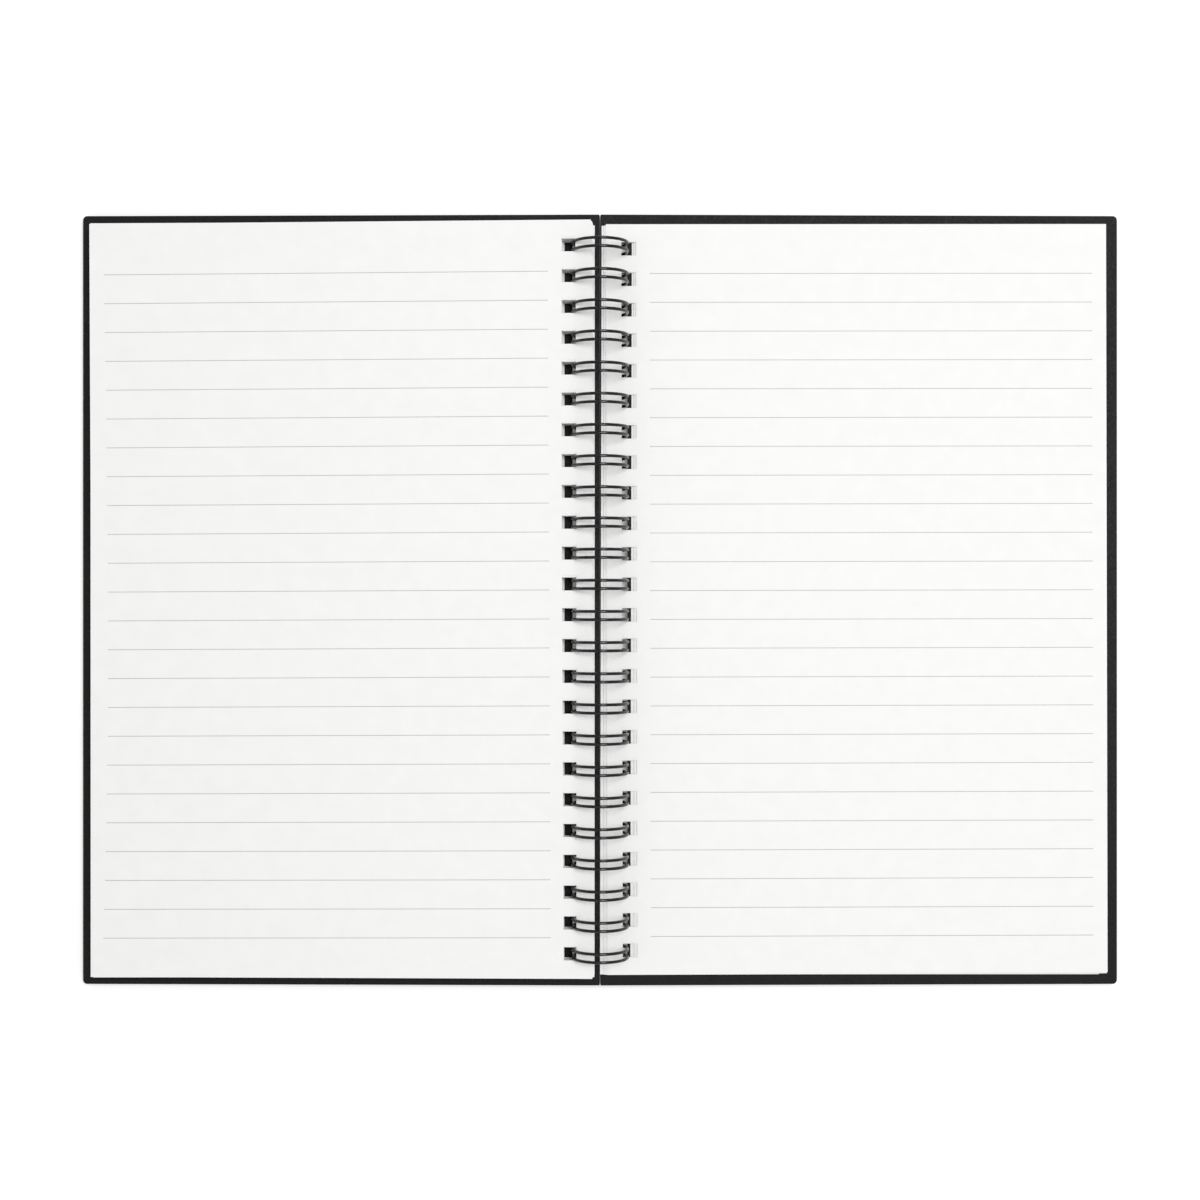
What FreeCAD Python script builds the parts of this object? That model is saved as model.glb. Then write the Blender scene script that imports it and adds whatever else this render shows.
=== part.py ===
"""An open hardcover notebook on one twin-loop wire, lying flat on its back, in millimetres.

The wire's loops are rings about one line, the ring axis. It runs along Y over x = 0. Two stiff
covers and two stacks of ruled sheets hang on the wire by rows of square holes, and all of them
turn about the ring axis. The wire's seam lies at the bottom of the rings, under the covers.
"""
import FreeCAD, Part
import math
import os

import Sketcher
from FreeCAD import Placement, Rotation, Vector

SIZES = {
    "cover_width": 144.42,
    "cover_square": 2.9,
    "cover_corner": 1.2,
    "near_corner": 0.4,
    "cover_gap": 0.26,
    "cover_margin": 3.32,
    "cover_hole": 4.3,
    "board_thick": 1.7,
    "covering_thick": 0.25,
    "edge_round": 0.3,
    "turn_in": 15.0,
    "lining_thick": 0.12,
    "lining_inset": 3.6,
    "lining_near": 12.0,
    "sheet_width": 139.1,
    "sheet_height": 208.8,
    "sheet_margin": 4.3,
    "sheet_hole": 4.1,
    "left_thick_ring": 6.2,
    "left_thick_edge": 5.4,
    "left_hang_low": 0.2,
    "left_hang_top": 0.25,
    "right_thick_ring": 1.15,
    "right_thick_edge": 2.1,
    "right_hang_low": 1.4,
    "right_hang_top": 0.35,
    "lay_gap": 0.05,
    "loop_pitch": 25.4 / 3,
    "pair_spacing": 2.25,
    "wire_dia": 0.85,
    "ring_radius": 7.6,
    "root_bend": 1.0,
    "root_angle": 13.5,
    "tip_angle": 12.5,
    "wire_clearance": 0.2,
}

# The covers stand past the sheets by a square at head and tail, and as many loops fit as may
TIED = {
    "cover_height": "=sheet_height + 2 * cover_square",
    "loop_count": "=floor(sheet_height / loop_pitch)",
}

# FreeCAD names the first edge's start 1 and its end 2, and the sketch's origin (-1, 1).
START, END = 1, 2
ORIGIN = (-1, 1)

doc = FreeCAD.newDocument("wirebound_notebook")
sheet = doc.addObject("Spreadsheet::Sheet", "Sizes")
for line, (name, value) in enumerate({**SIZES, **TIED}.items(), start=1):
    sheet.set(f"A{line}", name)
    sheet.set(f"B{line}", str(value))
    sheet.setAlias(f"B{line}", name)
doc.recompute()


def size(name):
    """One driving dimension, read from the sheet."""
    return float(sheet.get(name))


# Heights about the ring axis

def lowest_of_wire():
    """How far the wire's centre line reaches below the ring axis, at its roots or its tips."""
    root = math.radians(size("root_angle"))
    tip = math.radians(size("tip_angle"))
    at_root = size("ring_radius") * math.cos(root) + size("root_bend") * math.sin(root)
    at_tip = size("ring_radius") * math.cos(tip) + size("pair_spacing") / 2 * math.sin(tip)
    return max(at_root, at_tip)


def inside_of_wire(height):
    """How far from x = 0 the rings' inner side is, at a height above or below the ring axis."""
    inner = size("ring_radius") - size("wire_dia") / 2
    return math.sqrt(inner ** 2 - height ** 2)


AXIS_Z = lowest_of_wire() + size("wire_dia") / 2
COVER_NEAR = size("cover_gap") / 2 + size("cover_margin")
COVER_DROP = inside_of_wire(COVER_NEAR + size("wire_clearance"))
COVER_THICK = size("board_thick") + 2 * size("covering_thick") + size("lining_thick")
STACK_DROP = COVER_DROP - COVER_THICK - size("lay_gap")
COVER_REACH = size("cover_gap") / 2 + size("cover_width")
TILT = math.asin(AXIS_Z / math.hypot(COVER_REACH, COVER_DROP)) - math.atan2(COVER_DROP, COVER_REACH)


def laid(drop, side):
    """The place of a flat piece whose underside is so far below the ring axis.

    The piece is drawn to the right of x = 0. It tilts until the cover's outer edge is on the
    table, and a piece of the left side is then turned half round about Z.
    """
    tilt = Rotation(Vector(0, 1, 0), math.degrees(TILT))
    turn = Rotation(Vector(0, 0, 1), 180 if side == "left" else 0)
    rotation = turn * tilt
    foot = rotation.multVec(Vector(0, 0, -drop))
    return Placement(Vector(0, 0, AXIS_Z) + foot, rotation)


# Sketches and features

def plane(body, role):
    """One of the body's own origin planes or axes."""
    return next(item for item in body.Origin.OriginFeatures if item.Role == role)


def new_sketch(body, name, role, lift="0"):
    """A sketch on an origin plane of the body, lifted along the plane's normal."""
    sketch = body.newObject("Sketcher::SketchObject", name)
    sketch.AttachmentSupport = [(plane(body, role), "")]
    sketch.MapMode = "FlatFace"
    sketch.setExpression("AttachmentOffset.Base.z", lift)
    return sketch


def datum(sketch, kind, places, formula):
    """A driven dimension of the sketch: its kind, what it measures and its formula."""
    number = float(sketch.evalExpression(formula))
    index = sketch.addConstraint(Sketcher.Constraint(kind, *places, number))
    sketch.setExpression(f"Constraints[{index}]", formula)


def outline(sketch, corners):
    """A closed outline of straight lines through corners given as formulas for x and y."""
    points = [Vector(*(float(sketch.evalExpression(f)) for f in pair), 0) for pair in corners]
    first = sketch.GeometryCount
    count = len(points)
    for i, point in enumerate(points):
        sketch.addGeometry(Part.LineSegment(point, points[(i + 1) % count]), False)
    for i, (x, y) in enumerate(corners):
        after = first + (i + 1) % count
        sketch.addConstraint(Sketcher.Constraint("Coincident", first + i, END, after, START))
        datum(sketch, "DistanceX", (*ORIGIN, first + i, START), x)
        datum(sketch, "DistanceY", (*ORIGIN, first + i, START), y)


def rounded_outline(sketch, left, right, half, far_corner, near_corner):
    """A rectangle between two x and as far above the X axis as below, with round corners."""
    values = (float(sketch.evalExpression(f)) for f in (left, right, half, far_corner, near_corner))
    x0, x1, y1, far, near = values
    first = sketch.GeometryCount
    rounds = [
        (x1 - far, far - y1, far),
        (x1 - far, y1 - far, far),
        (x0 + near, y1 - near, near),
        (x0 + near, near - y1, near),
    ]
    arcs = []
    for quarter, (x, y, radius) in enumerate(rounds):
        circle = Part.Circle(Vector(x, y, 0), Vector(0, 0, 1), radius)
        start = (quarter - 1) * math.pi / 2
        arcs.append(Part.ArcOfCircle(circle, start, start + math.pi / 2))
    for i, arc in enumerate(arcs):
        sketch.addGeometry(arc, False)
        line = Part.LineSegment(arc.EndPoint, arcs[(i + 1) % 4].StartPoint)
        sketch.addGeometry(line, False)
    for i in range(4):
        arc, line, after = first + 2 * i, first + 2 * i + 1, first + (2 * i + 2) % 8
        sketch.addConstraint(Sketcher.Constraint("Tangent", arc, END, line, START))
        sketch.addConstraint(Sketcher.Constraint("Tangent", line, END, after, START))
        sketch.addConstraint(Sketcher.Constraint("Vertical" if i % 2 == 0 else "Horizontal", line))
        if i % 2:
            sketch.addConstraint(Sketcher.Constraint("Equal", arc - 2, arc))
    right_side, top_side, left_side, low_side = (first + 2 * i + 1 for i in range(4))
    datum(sketch, "Radius", (first,), far_corner)
    datum(sketch, "Radius", (first + 4,), near_corner)
    datum(sketch, "DistanceX", (*ORIGIN, right_side, START), right)
    datum(sketch, "DistanceX", (*ORIGIN, left_side, START), left)
    datum(sketch, "DistanceY", (*ORIGIN, top_side, START), half)
    datum(sketch, "DistanceY", (low_side, START, *ORIGIN), half)


def pad(body, sketch, name, length, symmetric=False):
    """Material added on a sketch, upwards from it or to both sides alike."""
    feature = body.newObject("PartDesign::Pad", name)
    feature.Profile = sketch
    feature.setExpression("Length", length)
    if symmetric:
        feature.SideType = "Symmetric"
    sketch.Visibility = False
    return feature


def punch(body, sketch, depth, symmetric=False):
    """One square hole cut from a sketch, and the row of them along the binding."""
    before = body.Shape.Volume
    hole = body.newObject("PartDesign::Pocket", "hole")
    hole.Profile = sketch
    hole.setExpression("Length", depth)
    if symmetric:
        hole.SideType = "Symmetric"
    doc.recompute()
    if not hole.Shape.Volume < before:
        raise RuntimeError(f"{body.Label}: the hole cuts nothing")
    row = body.newObject("PartDesign::LinearPattern", "hole_row")
    row.Originals = [hole]
    row.Direction = (plane(body, "Y_Axis"), [""])
    row.Reversed = True
    row.setExpression("Length", "(Sizes.loop_count - 1) * Sizes.loop_pitch")
    row.setExpression("Occurrences", "Sizes.loop_count")
    body.Tip = row
    doc.recompute()
    lost_by_one = before - hole.Shape.Volume
    lost_by_row = before - row.Shape.Volume
    if abs(lost_by_row / lost_by_one - size("loop_count")) > 0.01:
        raise RuntimeError(f"{body.Label}: the row of holes isn't whole")


def new_body(label, drop, side):
    """A body laid on its side of the binding."""
    body = doc.addObject("PartDesign::Body", label)
    body.Label = label
    body.Placement = laid(drop, side)
    return body


FIRST_HOLE_Y = "(Sizes.loop_count - 1) * Sizes.loop_pitch / 2"


def punch_cover(body, depth):
    """The row of square holes through one layer of a cover, cut down from above it."""
    sketch = new_sketch(body, "hole_outline", "XY_Plane", depth)
    near = "Sizes.cover_gap / 2 + Sizes.cover_margin"
    far = f"{near} + Sizes.cover_hole"
    low = f"{FIRST_HOLE_Y} - Sizes.cover_hole / 2"
    high = f"{FIRST_HOLE_Y} + Sizes.cover_hole / 2"
    outline(sketch, [(near, low), (far, low), (far, high), (near, high)])
    punch(body, sketch, depth)


# The covers: a stiff board, the covering wrapped round it, and the paper lining inside

NEAR_EDGE = "Sizes.cover_gap / 2"
FAR_EDGE = "Sizes.cover_gap / 2 + Sizes.cover_width"
HALF_HEIGHT = "Sizes.cover_height / 2"


def inset_outline(sketch, inset, corners):
    """The cover's outline, drawn in by an inset on all four sides."""
    left, right = f"{NEAR_EDGE} + {inset}", f"{FAR_EDGE} - {inset}"
    rounded_outline(sketch, left, right, f"{HALF_HEIGHT} - {inset}", *corners)


# Each pair gives the round corners at the fore edge, then those at the binding
COVER_CORNERS = ("Sizes.cover_corner", "Sizes.near_corner")
BOARD_CORNERS = tuple(f"{corner} - Sizes.covering_thick" for corner in COVER_CORNERS)
WINDOW_CORNERS = ("Sizes.cover_corner", "Sizes.cover_corner")
TURN_IN = "(Sizes.covering_thick + Sizes.turn_in)"
BOARD_TOP = "Sizes.covering_thick + Sizes.board_thick"
TURN_TOP = "2 * Sizes.covering_thick + Sizes.board_thick"
COVER_TOP = f"{TURN_TOP} + Sizes.lining_thick"


def make_board(label, side):
    """The greyboard inside a cover."""
    body = new_body(label, COVER_DROP, side)
    sketch = new_sketch(body, "outline", "XY_Plane", "Sizes.covering_thick")
    inset_outline(sketch, "Sizes.covering_thick", BOARD_CORNERS)
    pad(body, sketch, "board", "Sizes.board_thick")
    doc.recompute()
    punch_cover(body, COVER_TOP)
    return body


def rim_edges(shape):
    """The names of the covering's edges that run round its rim, above and below."""
    outside = size("cover_height") / 2
    inner, outer = size("cover_gap") / 2, COVER_REACH
    corner = size("cover_corner")
    names = []
    for i, edge in enumerate(shape.Edges, start=1):
        middle = edge.CenterOfMass
        level = edge.BoundBox.ZLength < size("covering_thick") / 10
        ends = min(middle.z, shape.BoundBox.ZMax - middle.z) < size("covering_thick") / 10
        to_rim = min(outside - abs(middle.y), middle.x - inner, outer - middle.x)
        if level and ends and to_rim < corner:
            names.append(f"Edge{i}")
    return names


def make_covering(label, side):
    """The black covering: outer face, edges, and the turn-ins glued down inside."""
    body = new_body(label, COVER_DROP, side)
    face = new_sketch(body, "face_outline", "XY_Plane")
    inset_outline(face, "0", COVER_CORNERS)
    pad(body, face, "face", "Sizes.covering_thick")
    edge = new_sketch(body, "edge_outline", "XY_Plane", "Sizes.covering_thick")
    inset_outline(edge, "0", COVER_CORNERS)
    inset_outline(edge, "Sizes.covering_thick", BOARD_CORNERS)
    pad(body, edge, "edge", "Sizes.board_thick")
    turn = new_sketch(body, "turn_in_outline", "XY_Plane", BOARD_TOP)
    inset_outline(turn, "0", COVER_CORNERS)
    inset_outline(turn, TURN_IN, WINDOW_CORNERS)
    turned = pad(body, turn, "turn_in", "Sizes.covering_thick")
    doc.recompute()
    soft = body.newObject("PartDesign::Fillet", "soft_edges")
    soft.Base = (turned, rim_edges(turned.Shape))
    soft.setExpression("Radius", "Sizes.edge_round")
    doc.recompute()
    punch_cover(body, COVER_TOP)
    return body


def make_lining(label, side):
    """The paper lining: it fills the window between the turn-ins and laps over them.

    At the binding it stops short of the holes, which show the black covering round them.
    """
    body = new_body(label, COVER_DROP, side)
    window = new_sketch(body, "window_outline", "XY_Plane", BOARD_TOP)
    inset_outline(window, TURN_IN, WINDOW_CORNERS)
    pad(body, window, "window", "Sizes.covering_thick")
    lap = new_sketch(body, "lap_outline", "XY_Plane", TURN_TOP)
    near, far = f"{NEAR_EDGE} + Sizes.lining_near", f"{FAR_EDGE} - Sizes.lining_inset"
    rounded_outline(lap, near, far, f"{HALF_HEIGHT} - Sizes.lining_inset", *WINDOW_CORNERS)
    pad(body, lap, "lap", "Sizes.lining_thick")
    doc.recompute()
    return body


# The pages: two stacks of sheets, each one solid

def make_pages(label, side):
    """A stack of sheets on one cover. The sheets step outwards as they follow the ring."""
    def thick(place):
        return f"Sizes.{side}_thick_{place}"

    drop = f"{STACK_DROP}"
    inner = "Sizes.ring_radius - Sizes.wire_dia / 2"

    def inner_edge(height, place):
        ring = f"sqrt(({inner}) ^ 2 - ({height}) ^ 2)"
        return f"{ring} - Sizes.{side}_hang_{place} - Sizes.sheet_margin"

    low = inner_edge(drop, "low")
    top = inner_edge(f"{drop} - {thick('ring')}", "top")
    body = new_body(label, STACK_DROP, side)
    section = new_sketch(body, "section", "XZ_Plane")
    ends = [
        (low, "0"),
        (f"{low} + Sizes.sheet_width", "0"),
        (f"{top} + Sizes.sheet_width", thick("edge")),
        (top, thick("ring")),
    ]
    outline(section, ends)
    pad(body, section, "stack", "Sizes.sheet_height", symmetric=True)
    hole = new_sketch(body, "hole_section", "XZ_Plane", f"-({FIRST_HOLE_Y})")
    near_low, near_top = (f"{edge} + Sizes.sheet_margin" for edge in (low, top))
    lean = f"({top} - ({low})) / {thick('ring')}"
    outline(hole, [
        (f"{near_low} - {lean}", "-1"),
        (f"{near_low} - {lean} + Sizes.sheet_hole", "-1"),
        (f"{near_top} + {lean} + Sizes.sheet_hole", f"{thick('ring')} + 1"),
        (f"{near_top} + {lean}", f"{thick('ring')} + 1"),
    ])
    doc.recompute()
    punch(body, hole, "Sizes.sheet_hole", symmetric=True)
    return body


# The wire: pairs of round legs joined by a bend at each tip and by links between the roots

def on_ring(angle, y):
    """A point of the wire's centre line, at an angle from the X axis."""
    return Vector(size("ring_radius") * math.cos(angle), y, size("ring_radius") * math.sin(angle))


def round_section(centre, normal):
    """The wire's round section as a face."""
    edge = Part.makeCircle(size("wire_dia") / 2, centre, normal)
    return Part.Face(Part.Wire(edge))


def make_wire(label):
    """The one bent wire, as a solid about the ring axis."""
    count = int(size("loop_count"))
    spacing, bend = size("pair_spacing"), size("root_bend")
    root = math.radians(size("root_angle") - 90)
    tip = math.radians(270 - size("tip_angle"))
    radial_root = Vector(math.cos(root), 0, math.sin(root))
    along_root = Vector(-math.sin(root), 0, math.cos(root))
    radial_tip = Vector(math.cos(tip), 0, math.sin(tip))
    along_tip = Vector(-math.sin(tip), 0, math.cos(tip))
    lateral = Vector(0, 1, 0)
    pieces = []
    for i in range(count):
        middle = (i - (count - 1) / 2) * size("loop_pitch")
        for leg in (-1, 1):
            y = middle + leg * spacing / 2
            section = round_section(on_ring(root, y), along_root)
            pieces.append(section.revolve(Vector(), -lateral, math.degrees(tip - root)))
            at_end = i == 0 and leg < 0 or i == count - 1 and leg > 0
            if not at_end:
                pivot = on_ring(root, y + leg * bend)
                turn = section.revolve(pivot, radial_root, leg * 90)
                pieces.append(turn)
        section = round_section(on_ring(tip, middle - spacing / 2), along_tip)
        pieces.append(section.revolve(on_ring(tip, middle), -radial_tip, 180))
        if i:
            length = size("loop_pitch") - spacing - 2 * bend
            start = on_ring(root, middle - spacing / 2 - bend - length) - along_root * bend
            pieces.append(round_section(start, lateral).extrude(lateral * length))
    wire = doc.addObject("Part::Feature", label)
    wire.Label = label
    wire.Shape = pieces[0].multiFuse(pieces[1:])
    wire.Placement = Placement(Vector(0, 0, AXIS_Z), Rotation())
    return wire


def check(parts):
    """Stops if an object of the document failed or a piece isn't one valid solid."""
    doc.recompute()
    for item in doc.Objects:
        if {"Invalid", "Error"} & set(item.State):
            raise RuntimeError(f"{item.Label} failed: {item.State}")
    for part in parts:
        shape = part.Shape
        if shape.isNull() or not shape.isValid() or len(shape.Solids) != 1:
            raise RuntimeError(f"{part.Label} isn't one valid solid")


def closing_angle():
    """How far a stack or cover turns, in degrees, until the two stacks lie face to face."""
    slopes = []
    for side in ("left", "right"):
        rise = size(f"{side}_thick_ring") - size(f"{side}_thick_edge")
        slopes.append(math.degrees(TILT + math.atan2(rise, size("sheet_width"))))
    return 180 + sum(slopes)


parts = [
    make_board("front_board", "left"),
    make_covering("front_covering", "left"),
    make_lining("front_lining", "left"),
    make_board("back_board", "right"),
    make_covering("back_covering", "right"),
    make_lining("back_lining", "right"),
    make_pages("left_pages", "left"),
    make_pages("right_pages", "right"),
    make_wire("binding_wire"),
]
check(parts)
os.makedirs("parts", exist_ok=True)
for part in parts:
    part.Shape.exportStep(f"parts/{part.Label}.step")
    box = part.Shape.BoundBox
    print(part.Label, [round(v, 2) for v in (box.XMin, box.XMax, box.YMin, box.YMax, box.ZMin, box.ZMax)])
print(f"ring axis {AXIS_Z:.3f} mm up, covers tilt {math.degrees(TILT):.3f} deg")
print(f"closing angle {closing_angle():.3f} deg")
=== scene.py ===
"""An open hardcover notebook on one twin-loop wire, seen straight from above.

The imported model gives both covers. The wire is bent here loop by loop, and the pages are made
sheet by sheet, in the places of their solids. Sizes are in millimetres, as the maker states
them, and turn into Blender's metres where a mesh is made.
"""
from __future__ import annotations

import logging
import math
import random
from dataclasses import dataclass, field
from enum import Enum
from typing import Any

import bpy
from mathutils import Matrix, Vector

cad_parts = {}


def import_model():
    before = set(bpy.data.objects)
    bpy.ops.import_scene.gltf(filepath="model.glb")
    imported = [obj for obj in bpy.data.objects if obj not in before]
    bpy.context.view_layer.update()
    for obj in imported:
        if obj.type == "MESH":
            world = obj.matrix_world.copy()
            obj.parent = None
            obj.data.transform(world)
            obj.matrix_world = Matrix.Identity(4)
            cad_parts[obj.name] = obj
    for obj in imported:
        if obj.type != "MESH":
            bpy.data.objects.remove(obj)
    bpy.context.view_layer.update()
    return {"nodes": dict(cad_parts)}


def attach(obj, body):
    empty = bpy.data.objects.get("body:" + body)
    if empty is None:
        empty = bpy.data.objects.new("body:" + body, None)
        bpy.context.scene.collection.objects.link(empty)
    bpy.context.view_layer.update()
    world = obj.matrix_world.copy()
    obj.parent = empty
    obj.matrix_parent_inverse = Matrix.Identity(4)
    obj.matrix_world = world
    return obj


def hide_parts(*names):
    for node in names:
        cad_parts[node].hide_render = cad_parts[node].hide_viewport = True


log = logging.getLogger("notebook")

MM = 0.001
# Angles in degrees
QUARTER_TURN = 90
HALF_TURN = 180

Socket = bpy.types.NodeSocket
Tree = bpy.types.NodeTree
Corner = tuple[float, float]
Face = tuple[int, ...]


class Side(Enum):
    """The two sides of the open notebook."""

    LEFT = "left"
    RIGHT = "right"


class Board(Enum):
    """The two covers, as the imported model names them."""

    FRONT = "front"
    BACK = "back"


# Helpers for colours, materials and meshes

def linear(code: str) -> tuple[float, float, float, float]:
    """Turns an sRGB hex colour into Blender's linear one.

    Args:
        code: six hex digits after a hash, such as "#F4F4F2".

    Returns:
        Red, green, blue and an alpha of 1.
    """
    channels = [int(code[i:i + 2], 16) / 255 for i in (1, 3, 5)]
    values = [c / 12.92 if c <= 0.04045 else ((c + 0.055) / 1.055) ** 2.4 for c in channels]
    return (values[0], values[1], values[2], 1.0)


def per_metre(grain: float) -> float:
    """The texture scale whose pattern repeats about every `grain` millimetres."""
    return 1 / (grain * MM)


def add_node(tree: Tree, kind: str, settings: dict[str | int, Any] | None = None,
             links: dict[str | int, Socket] | None = None) -> bpy.types.Node:
    """Adds one node to a material, with its settings and the links into it.

    Args:
        tree: the node tree that gets the node.
        kind: the node's type name, without its leading "ShaderNode".
        settings: values by input name or number, or by the node's own attribute name.
        links: the sockets that feed the node's inputs, by input name or number.

    Returns:
        The new node.
    """
    node = tree.nodes.new("ShaderNode" + kind)
    for key, value in (settings or {}).items():
        if isinstance(key, str) and hasattr(node, key):
            setattr(node, key, value)
        else:
            node.inputs[key].default_value = value
    for key, source in (links or {}).items():
        tree.links.new(source, node.inputs[key])
    return node


def new_material(name: str) -> bpy.types.Material:
    """Makes a material whose node tree is still empty.

    Args:
        name: the material's name.

    Returns:
        The material.
    """
    made = bpy.data.materials.new(name)
    made.use_nodes = True
    made.node_tree.nodes.clear()
    return made


def new_object(name: str, points: list[Vector], faces: list[Face],
               materials: list[bpy.types.Material], marks: list[int] | None = None) -> bpy.types.Object:
    """Makes a mesh object at the origin.

    Args:
        name: the object's name.
        points: its corners, in metres.
        faces: the corners of each face, by number.
        materials: its materials.
        marks: the number of each face's material, or None where there is only one.

    Returns:
        The object, linked to the scene.
    """
    mesh = bpy.data.meshes.new(name)
    mesh.from_pydata([tuple(point) for point in points], [], faces)
    for material in materials:
        mesh.materials.append(material)
    if marks:
        mesh.polygons.foreach_set("material_index", marks)
    mesh.update()
    made = bpy.data.objects.new(name, mesh)
    bpy.context.scene.collection.objects.link(made)
    return made


# The finishes

@dataclass(frozen=True)
class Finish:
    """A surface with a mottled colour, a range of roughness and a fine relief.

    The mottle and the relief are noises. Their grains and the relief's depth are in millimetres.
    """

    name: str
    light: str
    dark: str
    mottle: float
    rough_low: float
    rough_high: float
    ior: float
    relief_grain: float
    relief_depth: float
    relief_strength: float = 0.6
    coat: float = 0.0

    def relief(self, tree: Tree, place: Socket) -> Socket:
        """Draws the height of the surface.

        Args:
            tree: the material's node tree.
            place: the object coordinates, in metres.

        Returns:
            The socket with the height, from 0 to 1.
        """
        noise = {"Scale": per_metre(self.relief_grain), "Detail": 4.0, "Roughness": 0.6}
        return add_node(tree, "TexNoise", noise, {"Vector": place}).outputs[0]

    def tint(self, tree: Tree, place: Socket) -> Socket:
        """Draws the colour: clouds between the dark one and the light one.

        Args:
            tree: the material's node tree.
            place: the object coordinates, in metres.

        Returns:
            The socket with the colour.
        """
        noise = {"Scale": per_metre(self.mottle), "Detail": 5.0}
        clouds = add_node(tree, "TexNoise", noise, {"Vector": place}).outputs[0]
        ramp = add_node(tree, "ValToRGB", {}, {"Fac": clouds})
        dark, light = ramp.color_ramp.elements
        dark.position, dark.color = 0.3, linear(self.dark)
        light.position, light.color = 0.7, linear(self.light)
        return ramp.outputs[0]

    def make(self) -> bpy.types.Material:
        """Builds the material.

        Returns:
            The material, ready for an object's slot.
        """
        made = new_material(self.name)
        tree = made.node_tree
        place = add_node(tree, "TexCoord").outputs["Object"]
        tint = self.tint(tree, place)
        height = self.relief(tree, place)
        rough = add_node(tree, "MapRange", {"To Min": self.rough_low, "To Max": self.rough_high},
                         {"Value": height}).outputs[0]
        bump = add_node(tree, "Bump", {"Strength": self.relief_strength, "Distance": self.relief_depth * MM},
                        {"Height": height}).outputs[0]
        shader = add_node(tree, "BsdfPrincipled", {"IOR": self.ior, "Coat Weight": self.coat},
                          {"Base Color": tint, "Roughness": rough, "Normal": bump})
        add_node(tree, "OutputMaterial", {}, {"Surface": shader.outputs[0]})
        return made


@dataclass(frozen=True)
class EmbossedFinish(Finish):
    """A covering whose relief is a leather grain: small cells with sunk lines between them.

    The lines are bent by up to `line_bend` metres, and a cell rises from its line over
    `line_share` of its width.
    """

    line_bend: float = 0.0006
    line_share: float = 0.25

    def relief(self, tree: Tree, place: Socket) -> Socket:
        """Draws the embossed cells, bent a little so that no two are alike.

        Args:
            tree: the material's node tree.
            place: the object coordinates, in metres.

        Returns:
            The socket with the height, from 0 in the lines to 1 on the cells.
        """
        waves = add_node(tree, "TexNoise", {"Scale": per_metre(3 * self.relief_grain)},
                         {"Vector": place}).outputs["Color"]
        bent = add_node(tree, "Mix", {"data_type": "VECTOR", "Factor": self.line_bend},
                        {4: place, 5: waves}).outputs[1]
        settings = {"feature": "DISTANCE_TO_EDGE", "Scale": per_metre(self.relief_grain)}
        cells = add_node(tree, "TexVoronoi", settings, {"Vector": bent}).outputs["Distance"]
        return add_node(tree, "MapRange", {"From Max": self.line_share}, {"Value": cells}).outputs[0]


@dataclass(frozen=True)
class PlyFinish(Finish):
    """A board pressed from plies: its cut edges show the plies as faint lines.

    Real plies, of about 0.35 mm, would be too fine to show, so they are drawn `ply` millimetres
    apart. The wave texture turns by `radians_per_unit` in one unit of its scale.
    """

    ply: float = 2.2
    radians_per_unit: float = 20.0

    def relief(self, tree: Tree, place: Socket) -> Socket:
        """Draws coarse fibres and the plies.

        Args:
            tree: the material's node tree.
            place: the object coordinates, in metres.

        Returns:
            The socket with the height, from 0 to 1.
        """
        fibres = super().relief(tree, place)
        scale = per_metre(self.ply) * math.tau / self.radians_per_unit
        settings = {"bands_direction": "Z", "Scale": scale, "Distortion": 0.4}
        plies = add_node(tree, "TexWave", settings, {"Vector": place}).outputs["Fac"]
        both = add_node(tree, "Math", {"operation": "MULTIPLY"}, {0: fibres, 1: plies})
        return both.outputs[0]


class Paint:
    """The notebook's finishes, each made once."""

    def __init__(self) -> None:
        """Makes all the materials."""
        # Woodfree writing paper, calendered: matt and even, with clouds of fibre seen only close up
        self.paper = Finish(
            "woodfree_writing_paper", light="#F5F5F4", dark="#F2F2F1", mottle=5.0,
            rough_low=0.72, rough_high=0.86, ior=1.5, relief_grain=0.22, relief_depth=0.012,
        ).make()
        # Offset ink on that paper: a thin grey film, a little less matt and broken by the fibres
        self.ink = Finish(
            "offset_printing_ink", light="#BFC0C1", dark="#B2B3B4", mottle=0.6,
            rough_low=0.55, rough_high=0.7, ior=1.5, relief_grain=0.22, relief_depth=0.008,
        ).make()
        # Bookbinding paper, dyed through and embossed: satin black with a leather grain
        self.covering = EmbossedFinish(
            "embossed_bookbinding_paper", light="#141414", dark="#101010", mottle=9.0,
            rough_low=0.42, rough_high=0.62, ior=1.28, relief_grain=0.5, relief_depth=0.05,
        ).make()
        # Greyboard, pressed from waste paper: dull brown-grey, specked, with plies at its cut edges
        self.board = PlyFinish(
            "greyboard", light="#8F887C", dark="#6F695F", mottle=0.8,
            rough_low=0.85, rough_high=0.95, ior=1.5, relief_grain=0.4, relief_depth=0.05,
        ).make()
        # Lining paper, uncoated offset: a warmer white than the pages, and duller
        self.lining = Finish(
            "offset_lining_paper", light="#ECEBE7", dark="#E5E4E0", mottle=4.0,
            rough_low=0.8, rough_high=0.92, ior=1.5, relief_grain=0.3, relief_depth=0.02,
        ).make()
        # Steel wire dipped in black nylon: deep black and glossy, with the coat's faint orange peel
        self.nylon = Finish(
            "nylon_coated_wire", light="#0A0A0B", dark="#070708", mottle=2.0,
            rough_low=0.12, rough_high=0.18, ior=1.47, relief_grain=0.5, relief_depth=0.006, coat=0.15,
        ).make()


# Sizes that the pieces share

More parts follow.
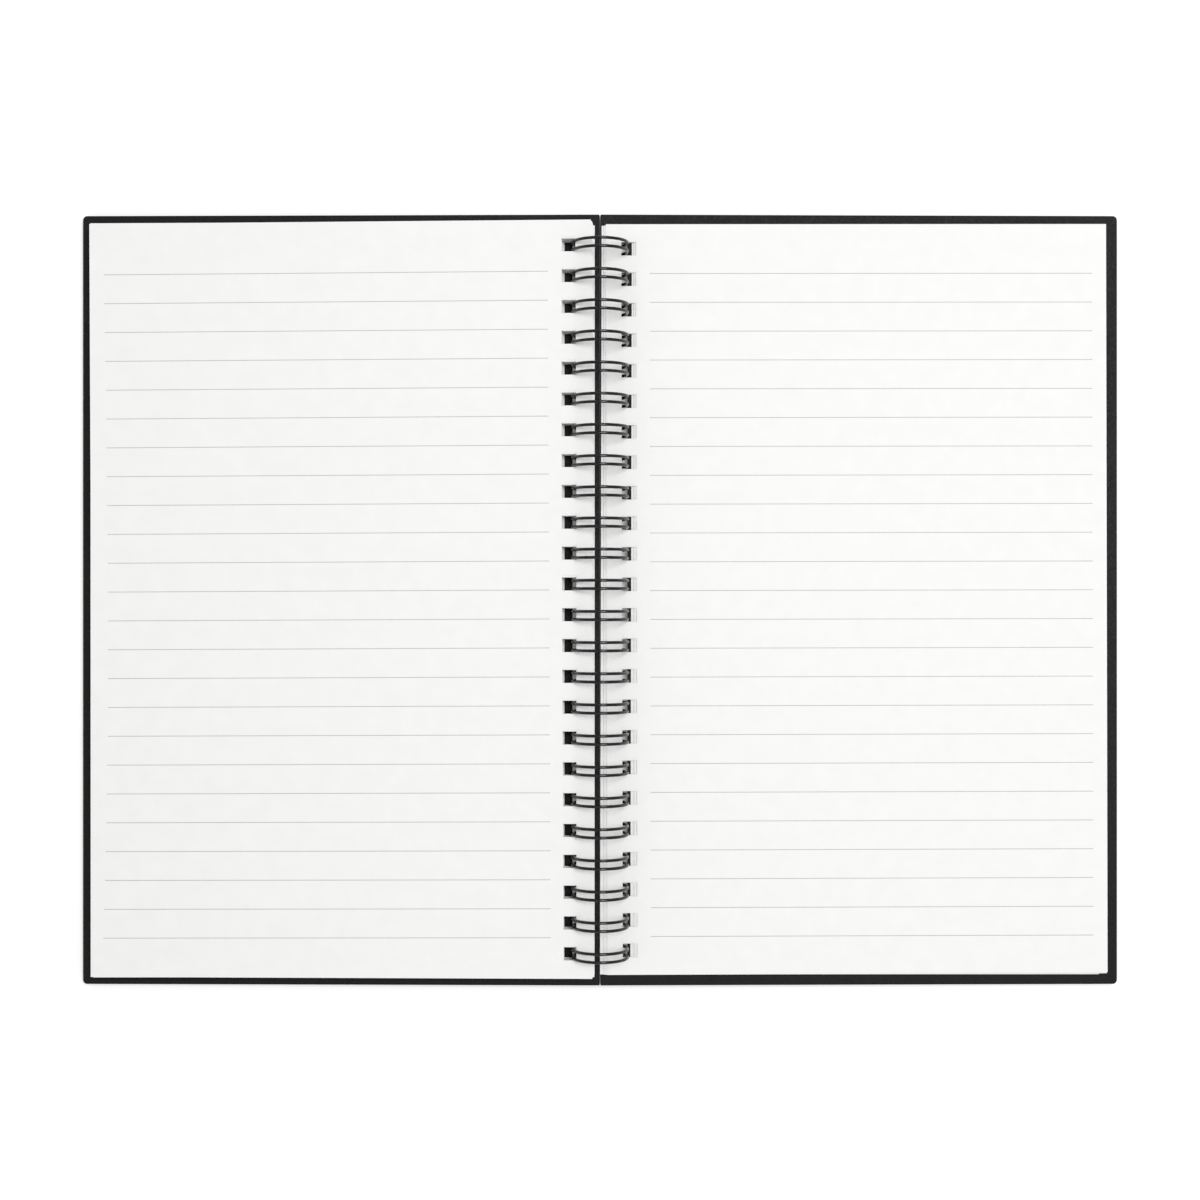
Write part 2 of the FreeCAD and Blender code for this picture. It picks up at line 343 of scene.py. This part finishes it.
@dataclass(frozen=True)
class Binding:
    """The wire, the holes' pitch and how the covers hang on it, in millimetres and degrees."""

    loop_count: int = 24
    loop_pitch: float = 25.4 / 3
    pair_spacing: float = 2.25
    wire_dia: float = 0.85
    ring_radius: float = 7.6
    root_bend: float = 1.0
    root_angle: float = 13.5
    tip_angle: float = 12.5
    wire_clearance: float = 0.2
    cover_gap: float = 0.26
    cover_margin: float = 3.32
    cover_width: float = 144.42
    cover_thick: float = 2.32
    lay_gap: float = 0.05

    @property
    def axis_height(self) -> float:
        """Works out how high the rings' centre line is above the table.

        Returns:
            The height of the centre, with the lower of the wire's roots and tips on the table.
        """
        root, tip = math.radians(self.root_angle), math.radians(self.tip_angle)
        at_root = self.ring_radius * math.cos(root) + self.root_bend * math.sin(root)
        at_tip = self.ring_radius * math.cos(tip) + self.pair_spacing / 2 * math.sin(tip)
        return max(at_root, at_tip) + self.wire_dia / 2

    def inside_of_wire(self, height: float) -> float:
        """How far from the middle the rings' inner side is, at a height about their centre."""
        return math.sqrt((self.ring_radius - self.wire_dia / 2) ** 2 - height ** 2)

    @property
    def cover_drop(self) -> float:
        """How far below the rings' centre the covers' undersides hang."""
        return self.inside_of_wire(self.cover_gap / 2 + self.cover_margin + self.wire_clearance)

    @property
    def stack_drop(self) -> float:
        """How far below the rings' centre the lowest sheets lie."""
        return self.cover_drop - self.cover_thick - self.lay_gap

    @property
    def tilt(self) -> float:
        """Works out how far the covers slope down to the table.

        Returns:
            The slope in radians, with a cover's lower outer edge on the table.
        """
        reach = self.cover_gap / 2 + self.cover_width
        drop = self.cover_drop
        return math.asin(self.axis_height / math.hypot(reach, drop)) - math.atan2(drop, reach)

    def loop_middle(self, index: int) -> float:
        """Where along the binding a loop's middle is, from the tail to the head."""
        return (index - (self.loop_count - 1) / 2) * self.loop_pitch

    def laid(self, side: Side) -> Matrix:
        """Works out the place of a stack that is drawn to the right of the middle, lying flat.

        Args:
            side: the side of the notebook that the stack lies on.

        Returns:
            The matrix from the drawing to the notebook, both in millimetres.
        """
        up = Matrix.Translation((0, 0, self.axis_height))
        turn = Matrix.Rotation(math.pi if side is Side.LEFT else 0, 4, "Z")
        slope = Matrix.Rotation(self.tilt, 4, "Y")
        return up @ turn @ slope @ Matrix.Translation((0, 0, -self.stack_drop))


# The covers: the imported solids, dressed

@dataclass
class Cover:
    """One cover: greyboard, the covering wrapped round it and the lining inside."""

    board: Board
    paint: Paint

    def dress(self, nodes: dict[str, bpy.types.Object]) -> None:
        """Gives the cover's three solids their materials.

        Args:
            nodes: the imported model's nodes, by name.
        """
        layers = {"board": self.paint.board, "covering": self.paint.covering, "lining": self.paint.lining}
        for layer, material in layers.items():
            mesh = nodes[f"{self.board.value}_{layer}"].data
            mesh.materials.clear()
            mesh.materials.append(material)
        log.info("%s cover dressed: board, covering and lining", self.board.value)


# The wire

@dataclass
class TwinLoopWire:
    """One wire bent into pairs of rings, with a bend at each tip and links between the roots.

    The steps between the points of its middle line are in degrees.
    """

    binding: Binding
    paint: Paint
    ring_step: float = 5.0
    bend_step: float = 15.0
    sides: int = 12

    def on_ring(self, angle: float, y: float) -> Vector:
        """A point of the wire's middle line, at an angle in radians from the right."""
        radius = self.binding.ring_radius
        return Vector((radius * math.cos(angle), y, radius * math.sin(angle)))

    def ring_run(self, y: float, start: float, end: float) -> list[Vector]:
        """Follows one leg of a loop.

        Args:
            y: where the leg is along the binding.
            start: its first angle, in radians.
            end: its last angle, in radians.

        Returns:
            The points, ends included.
        """
        count = round(abs(math.degrees(end - start)) / self.ring_step)
        return [self.on_ring(start + (end - start) * i / count, y) for i in range(count + 1)]

    def bend_run(self, centre: Vector, arm: Vector, along: Vector, turn: float) -> list[Vector]:
        """Follows a bend, without its first point.

        Args:
            centre: the bend's centre.
            arm: from the centre to the bend's start.
            along: the direction of the wire at that start, as long as the arm.
            turn: the bend's angle, in degrees.

        Returns:
            The points, the last one included.
        """
        count = round(turn / self.bend_step)
        steps = [math.radians(turn) * i / count for i in range(1, count + 1)]
        return [centre + arm * math.cos(step) + along * math.sin(step) for step in steps]

    def middle_line(self) -> list[Vector]:
        """Follows the wire from its first root to its last.

        Returns:
            The points of the wire's middle line, about the rings' centre line.
        """
        binding = self.binding
        root = math.radians(binding.root_angle - QUARTER_TURN)
        tip = math.radians(HALF_TURN + QUARTER_TURN - binding.tip_angle)
        half, bend = binding.pair_spacing / 2, binding.root_bend
        inward = Vector((-math.sin(root), 0, math.cos(root)))
        beyond = Vector((-math.sin(tip), 0, math.cos(tip)))
        up_page = Vector((0, 1, 0))
        points: list[Vector] = []
        for index in range(binding.loop_count):
            middle = binding.loop_middle(index)
            if index:
                pivot = self.on_ring(root, middle - half - bend)
                points += self.bend_run(pivot, -inward * bend, up_page * bend, QUARTER_TURN)[:-1]
            points += self.ring_run(middle - half, root, tip)
            tip_centre = self.on_ring(tip, middle)
            points += self.bend_run(tip_centre, -up_page * half, beyond * half, HALF_TURN)[:-1]
            points += self.ring_run(middle + half, tip, root)
            if index < binding.loop_count - 1:
                pivot = self.on_ring(root, middle + half + bend)
                points += self.bend_run(pivot, -up_page * bend, -inward * bend, QUARTER_TURN)
        return points

    def skin(self, path: list[Vector]) -> list[Vector]:
        """Puts a ring of corners round each point of the middle line, without twisting the wire.

        Args:
            path: the points of the middle line.

        Returns:
            The corners, ring by ring, in metres above the table.
        """
        radius = self.binding.wire_dia / 2
        lift = Vector((0, 0, self.binding.axis_height))
        aside = Vector((0, 1, 0))
        before = (path[1] - path[0]).normalized()
        corners: list[Vector] = []
        for i, point in enumerate(path):
            heading = (path[min(i + 1, len(path) - 1)] - path[max(i - 1, 0)]).normalized()
            aside = before.rotation_difference(heading) @ aside
            aside = (aside - heading * aside.dot(heading)).normalized()
            across = heading.cross(aside)
            before = heading
            for corner in range(self.sides):
                angle = 2 * math.pi * corner / self.sides
                spoke = aside * math.cos(angle) + across * math.sin(angle)
                corners.append((point + lift + spoke * radius) * MM)
        return corners

    def skin_faces(self, rings: int) -> list[Face]:
        """Joins the rings of corners, and closes both ends of the wire.

        Args:
            rings: how many rings there are.

        Returns:
            The faces, with the two ends last.
        """
        faces: list[Face] = []
        for ring in range(rings - 1):
            here, there = ring * self.sides, (ring + 1) * self.sides
            for corner in range(self.sides):
                after = (corner + 1) % self.sides
                faces.append((here + corner, here + after, there + after, there + corner))
        last = (rings - 1) * self.sides
        faces.append(tuple(reversed(range(self.sides))))
        faces.append(tuple(range(last, last + self.sides)))
        return faces

    def build(self) -> bpy.types.Object:
        """Sweeps the wire's round section along its middle line.

        Returns:
            The wire, riding on the back cover.
        """
        path = self.middle_line()
        faces = self.skin_faces(len(path))
        wire = new_object("twin_loop_wire", self.skin(path), faces, [self.paint.nylon])
        wire.data.polygons.foreach_set("use_smooth", [True] * (len(faces) - 2) + [False] * 2)
        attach(wire, "back_cover")
        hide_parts("binding_wire")
        log.info("wire: %d loops, %d faces", self.binding.loop_count, len(faces))
        return wire


# The pages

@dataclass(frozen=True)
class Ruling:
    """The printed lines of one page, in millimetres from the page's middle and inner edge."""

    count: int = 24
    pitch: float = 8.0
    first: float = 90.3
    weight: float = 0.2
    start: float = 12.1
    stop_low: float = 135.2
    stop_middle: float = 135.2
    stop_high: float = 135.2

    def stop(self, y: float) -> float:
        """Works out where a line of the drawing ends: the print drifts a little down the page.

        Args:
            y: how far the line is above the page's middle, in the drawing.

        Returns:
            The distance of the line's end from the inner edge.
        """
        share = y / self.first
        end = self.stop_high if share > 0 else self.stop_low
        return self.stop_middle + (end - self.stop_middle) * share ** 2

    def levels(self, side: Side) -> list[Corner]:
        """Works out the lower and upper side of each line, as the stack's drawing has them.

        Args:
            side: the page's side. The left stack is drawn upside down.

        Returns:
            A pair for each line, in rising order.
        """
        head = -1 if side is Side.LEFT else 1
        middles = sorted(head * (self.first - self.pitch * i) for i in range(self.count))
        return [(middle - self.weight / 2, middle + self.weight / 2) for middle in middles]


@dataclass(frozen=True)
class Lie:
    """How one sheet lies in its stack: in millimetres, and its turn in degrees."""

    inner: float
    low: float
    fore_low: float
    up_page: float
    turn: float


@dataclass(frozen=True)
class Group:
    """Sheets that slid together: the first one's number and place, and the steps between them."""

    first: int
    inner: float
    low: float
    turn: float
    step: float = 0.03
    pitch: float = 0.095


@dataclass(frozen=True)
class Slack:
    """How far a sheet may lie off its place, either way, in millimetres and degrees."""

    turn: float = 0.04
    turn_in_group: float = 0.01
    slide: float = 0.06
    up_page: float = 0.1


@dataclass(frozen=True)
class Cut:
    """How the sheets are cut and punched, and how thick they are, in millimetres."""

    width: float = 139.1
    height: float = 208.0
    margin: float = 4.3
    hole: float = 4.1
    paper: float = 0.09


@dataclass
class StackMesh:
    """The corners and faces of a stack, and each face's material, as its sheets are added."""

    points: list[Vector] = field(default_factory=list)
    faces: list[Face] = field(default_factory=list)
    marks: list[int] = field(default_factory=list)


@dataclass
class Sheet:
    """One sheet while it is drawn, with u across it and v along the binding.

    Both are in millimetres: u from the inner edge, and v from the middle. Level 0 is the lower
    face and level 1 the upper one. `laid` is the place of the sheet's stack.
    """

    cut: Cut
    lie: Lie
    laid: Matrix
    mesh: StackMesh
    numbers: dict[tuple[float, float, int], int] = field(default_factory=dict)

    def place(self, u: float, v: float, level: int) -> Vector:
        """Works out where a corner of the sheet is.

        Args:
            u: how far it is from the inner edge.
            v: how far it is from the middle, along the binding.
            level: the face that it is on.

        Returns:
            The corner in the scene, in metres.
        """
        lie = self.lie
        pivot = Vector((lie.inner + self.cut.margin, 0, 0))
        turn = Matrix.Rotation(math.radians(lie.turn), 4, "Z")
        rise = lie.low + (lie.fore_low - lie.low) * u / self.cut.width
        flat = Vector((lie.inner + u, v, rise + level * self.cut.paper))
        turned = turn @ (flat - pivot) + pivot + Vector((0, lie.up_page, 0))
        return (self.laid @ turned) * MM

    def number(self, u: float, v: float, level: int) -> int:
        """Finds a corner in the stack's mesh, and adds it where it isn't there yet.

        Args:
            u: how far it is from the inner edge.
            v: how far it is from the middle, along the binding.
            level: the face that it is on.

        Returns:
            The corner's number.
        """
        key = (round(u, 4), round(v, 4), level)
        if key not in self.numbers:
            self.numbers[key] = len(self.mesh.points)
            self.mesh.points.append(self.place(u, v, level))
        return self.numbers[key]

    def face(self, corners: list[Corner], level: int, ink: bool = False) -> None:
        """Adds a piece of the sheet's upper or lower face.

        Args:
            corners: its corners, anticlockwise from above.
            level: the face that it is on.
            ink: whether it is printed.
        """
        ordered = corners if level else list(reversed(corners))
        self.mesh.faces.append(tuple(self.number(u, v, level) for u, v in ordered))
        self.mesh.marks.append(int(ink))

    def wall(self, run: list[Corner]) -> None:
        """Adds a cut edge.

        Args:
            run: its corners, with the sheet to the left of them.
        """
        low = [self.number(u, v, 0) for u, v in run]
        top = [self.number(u, v, 1) for u, v in reversed(run)]
        self.mesh.faces.append(tuple(low + top))
        self.mesh.marks.append(0)


@dataclass
class SheetStack:
    """One stack of sheets, each cut and punched by itself.

    The stack is drawn to the right of the middle: the sheets' inner edges near x = 0, their fore
    edges to the right. Each sheet gets a small shift and turn, as far as its holes leave room, and
    the top one gets the shift and turn that it has in the photo.
    """

    side: Side
    binding: Binding
    paint: Paint
    count: int
    thick_ring: float
    thick_edge: float
    inner_low: float
    inner_top: float
    top_turn: float
    top_shift: float
    top_slide: float
    page: Ruling
    back_page: Ruling = Ruling()
    cut: Cut = Cut()
    slack: Slack = Slack()
    groups: list[Group] = field(default_factory=list)
    seed: int = 7

    def lies(self) -> list[Lie]:
        """Works out how each sheet lies.

        Returns:
            One lie for each sheet, from the lowest to the top one.
        """
        dice = random.Random(self.seed)
        slack = self.slack
        made: list[Lie] = []
        for index in range(self.count):
            share = index / self.count
            inner = self.inner_low + (self.inner_top - self.inner_low) * share
            low = self.thick_ring * share
            turn = dice.uniform(-slack.turn, slack.turn)
            for group in self.groups:
                if index >= group.first:
                    inner = group.inner + group.step * (index - group.first)
                    low = group.low + group.pitch * (index - group.first)
                    turn = group.turn + dice.uniform(-slack.turn_in_group, slack.turn_in_group)
            inner += dice.uniform(-slack.slide, slack.slide)
            up_page = dice.uniform(-slack.up_page, slack.up_page)
            if index == self.count - 1:
                inner, up_page, turn = self.inner_top + self.top_slide, self.top_shift, self.top_turn
            made.append(Lie(inner, low, self.thick_edge * share, up_page, turn))
        return made

    def hole_levels(self) -> list[float]:
        """Lists the lower and upper side of each hole, one after the other.

        Returns:
            The levels, from the tail to the head of the sheet.
        """
        middles = [self.binding.loop_middle(i) for i in range(self.binding.loop_count)]
        return [middle + sign * self.cut.hole / 2 for middle in middles for sign in (-1, 1)]

    def add_field(self, sheet: Sheet, level: int, ruling: Ruling | None) -> None:
        """Adds one face of a sheet from the holes' outer side to the fore edge.

        Args:
            sheet: the sheet.
            level: the face.
            ruling: its printed lines, or None where the face is hidden.
        """
        half, width = self.cut.height / 2, self.cut.width
        far = self.cut.margin + self.cut.hole
        beside_holes = [(far, v) for v in reversed([-half, *self.hole_levels(), half])]
        if ruling is None:
            sheet.face([*beside_holes, (width, -half), (width, half)], level)
            return
        edges = [v for pair in ruling.levels(self.side) for v in pair]
        lefts = [(ruling.start, v) for v in [-half, *edges, half]]
        rights = [(ruling.stop(v), v) for v in [-half, *edges, half]]
        sheet.face([*beside_holes, *lefts], level)
        for i in range(len(lefts) - 1):
            sheet.face([lefts[i], rights[i], rights[i + 1], lefts[i + 1]], level, ink=i % 2 == 1)
        sheet.face([(width, -half), (width, half), *reversed(rights)], level)

    def add_sheet(self, sheet: Sheet, over: Ruling | None, under: Ruling | None) -> None:
        """Adds one sheet to the stack's mesh.

        Args:
            sheet: the sheet.
            over: the ruling on its upper face, or None where that face is hidden.
            under: the ruling on its lower face, or None.
        """
        half, width = self.cut.height / 2, self.cut.width
        near, far = self.cut.margin, self.cut.margin + self.cut.hole
        holes = self.hole_levels()
        levels = [-half, *holes, half]
        for level, ruling in ((1, over), (0, under)):
            sheet.face([(0, half), (0, -half), *((near, v) for v in levels)], level)
            for low, top in zip(levels[::2], levels[1::2]):
                sheet.face([(near, low), (far, low), (far, top), (near, top)], level)
            self.add_field(sheet, level, ruling)
        sheet.wall([(0, -half), (near, -half), (far, -half), (width, -half)])
        sheet.wall([(width, -half), (width, half)])
        sheet.wall([(width, half), (far, half), (near, half), (0, half)])
        sheet.wall([(0, half), (0, -half)])
        for low, top in zip(holes[::2], holes[1::2]):
            hole = [(near, low), (near, top), (far, top), (far, low), (near, low)]
            for start, end in zip(hole, hole[1:]):
                sheet.wall([start, end])

    def build(self) -> bpy.types.Object:
        """Builds all the sheets as one piece.

        Returns:
            The stack, riding on its body.
        """
        mesh = StackMesh()
        laid = self.binding.laid(self.side)
        for index, lie in enumerate(self.lies()):
            over = self.page if index == self.count - 1 else None
            under = self.back_page if index == 0 else None
            self.add_sheet(Sheet(self.cut, lie, laid, mesh), over, under)
        side = self.side.value
        materials = [self.paint.paper, self.paint.ink]
        stack = new_object(f"{side}_sheets", mesh.points, mesh.faces, materials, mesh.marks)
        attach(stack, f"{side}_stack")
        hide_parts(f"{side}_pages")
        log.info("%s stack: %d sheets, %d faces", side, self.count, len(mesh.faces))
        return stack


# The studio

@dataclass
class Studio:
    """A white table, a soft light from above and to the right, and the camera overhead.

    Its lengths are in metres, as Blender has them, but the lens, its sensor and the table's
    mottle are in millimetres.
    """

    table_size: float = 12.0
    table_colour: str = "#F8F8F8"
    table_mottle: float = 60.0
    table_rough_low: float = 0.8
    table_rough_high: float = 0.9
    table_specular: float = 0.1
    table_glow: float = 0.16
    camera_height: float = 0.4785
    focal_length: float = 51.15
    sensor_width: float = 36.0
    lamp_place: tuple[float, float, float] = (0.24, 0.14, 1.0)
    lamp_width: float = 0.4
    lamp_power: float = 6.1
    room_colour: str = "#FFFFFF"
    room_strength: float = 0.515

    def seen_directly(self, tree: Tree) -> Socket:
        """Tells the rays of the camera, a mirror and glass from the rest.

        Args:
            tree: the node tree that gets the nodes.

        Returns:
            The socket with 1 for those rays, and 0 for others.
        """
        rays = add_node(tree, "LightPath").outputs
        seen = add_node(tree, "Math", {"operation": "MAXIMUM"},
                        {0: rays["Is Camera Ray"], 1: rays["Is Glossy Ray"]})
        clear = add_node(tree, "Math", {"operation": "MAXIMUM"},
                         {0: seen.outputs[0], 1: rays["Is Transmission Ray"]})
        return clear.outputs[0]

    def table_material(self) -> bpy.types.Material:
        """Makes a matt white laminate: it keeps the shadow, and looks white beyond it.

        Returns:
            The table's material.
        """
        made = new_material("white_laminate_table")
        tree = made.node_tree
        place = add_node(tree, "TexCoord").outputs["Object"]
        clouds = add_node(tree, "TexNoise", {"Scale": per_metre(self.table_mottle)},
                          {"Vector": place}).outputs[0]
        rough = add_node(tree, "MapRange", {"To Min": self.table_rough_low, "To Max": self.table_rough_high},
                         {"Value": clouds})
        settings = {"Base Color": linear(self.table_colour), "Specular IOR Level": self.table_specular}
        matt = add_node(tree, "BsdfPrincipled", settings, {"Roughness": rough.outputs[0]})
        seen = add_node(tree, "MapRange", {"To Max": self.table_glow}, {"Value": self.seen_directly(tree)})
        glow = add_node(tree, "Emission", {"Color": linear(self.room_colour)}, {"Strength": seen.outputs[0]})
        both = add_node(tree, "AddShader", {}, {0: matt.outputs[0], 1: glow.outputs[0]})
        add_node(tree, "OutputMaterial", {}, {"Surface": both.outputs[0]})
        return made

    def lay_table(self) -> None:
        """Lays the table under the notebook."""
        half = self.table_size / 2
        corners = [Vector((x * half, y * half, 0)) for x, y in ((-1, -1), (1, -1), (1, 1), (-1, 1))]
        table = new_object("table", corners, [(0, 1, 2, 3)], [self.table_material()])

    def hang_lamp(self) -> None:
        """Hangs a square softbox that faces the notebook."""
        softbox = bpy.data.lights.new("softbox", "AREA")
        softbox.shape = "SQUARE"
        softbox.size = self.lamp_width
        softbox.energy = self.lamp_power
        lamp = bpy.data.objects.new("softbox", softbox)
        lamp.location = self.lamp_place
        lamp.rotation_euler = Vector(self.lamp_place).to_track_quat("Z", "Y").to_euler()
        lamp.visible_camera = False
        bpy.context.scene.collection.objects.link(lamp)

    def light_room(self) -> None:
        """Surrounds the notebook with the soft light of a white room."""
        world = bpy.data.worlds.new("white_room")
        world.use_nodes = True
        tree = world.node_tree
        tree.nodes.clear()
        settings = {"Color": linear(self.room_colour), "Strength": self.room_strength}
        room = add_node(tree, "Background", settings)
        add_node(tree, "OutputWorld", {}, {"Surface": room.outputs[0]})
        bpy.context.scene.world = world

    def hang_camera(self) -> None:
        """Hangs the camera straight above the notebook, the page's head at the top."""
        lens = bpy.data.cameras.new("camera")
        lens.lens = self.focal_length
        lens.sensor_width = self.sensor_width
        camera = bpy.data.objects.new("camera", lens)
        camera.location = (0, 0, self.camera_height)
        bpy.context.scene.collection.objects.link(camera)
        bpy.context.scene.camera = camera
        bpy.context.scene.view_settings.view_transform = "Standard"

    def build(self) -> None:
        """Sets up the camera, the light and the table."""
        self.hang_camera()
        self.hang_lamp()
        self.light_room()
        self.lay_table()
        log.info("studio set up")


def main() -> None:
    """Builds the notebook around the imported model."""
    logging.basicConfig(level=logging.INFO, format="%(name)s: %(message)s")
    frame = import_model()
    binding = Binding()
    paint = Paint()
    Studio().build()
    for board in Board:
        Cover(board, paint).dress(frame["nodes"])
    TwinLoopWire(binding, paint).build()
    SheetStack(
        Side.LEFT, binding, paint, count=54, thick_ring=6.2, thick_edge=5.4,
        inner_low=1.58, inner_top=2.21, top_turn=0.27, top_shift=-0.45, top_slide=-0.22,
        page=Ruling(first=89.9, pitch=7.96, start=11.9, stop_low=134.6, stop_middle=133.8, stop_high=135.4),
        cut=Cut(width=138.5),
        groups=[Group(first=5, inner=1.95, low=0.57, turn=0.02, step=0.0045, pitch=0.1148)],
    ).build()
    SheetStack(
        Side.RIGHT, binding, paint, count=10, thick_ring=1.15, thick_edge=2.1,
        inner_low=0.38, inner_top=2.01, top_turn=0.12, top_shift=0.28, top_slide=-0.15,
        page=Ruling(),
        groups=[
            Group(first=0, inner=0.3, low=0.0, turn=-0.12),
            Group(first=3, inner=1.12, low=0.42, turn=0.03),
            Group(first=6, inner=1.7, low=0.77, turn=0.1),
        ],
    ).build()


if __name__ == "__main__":
    main()
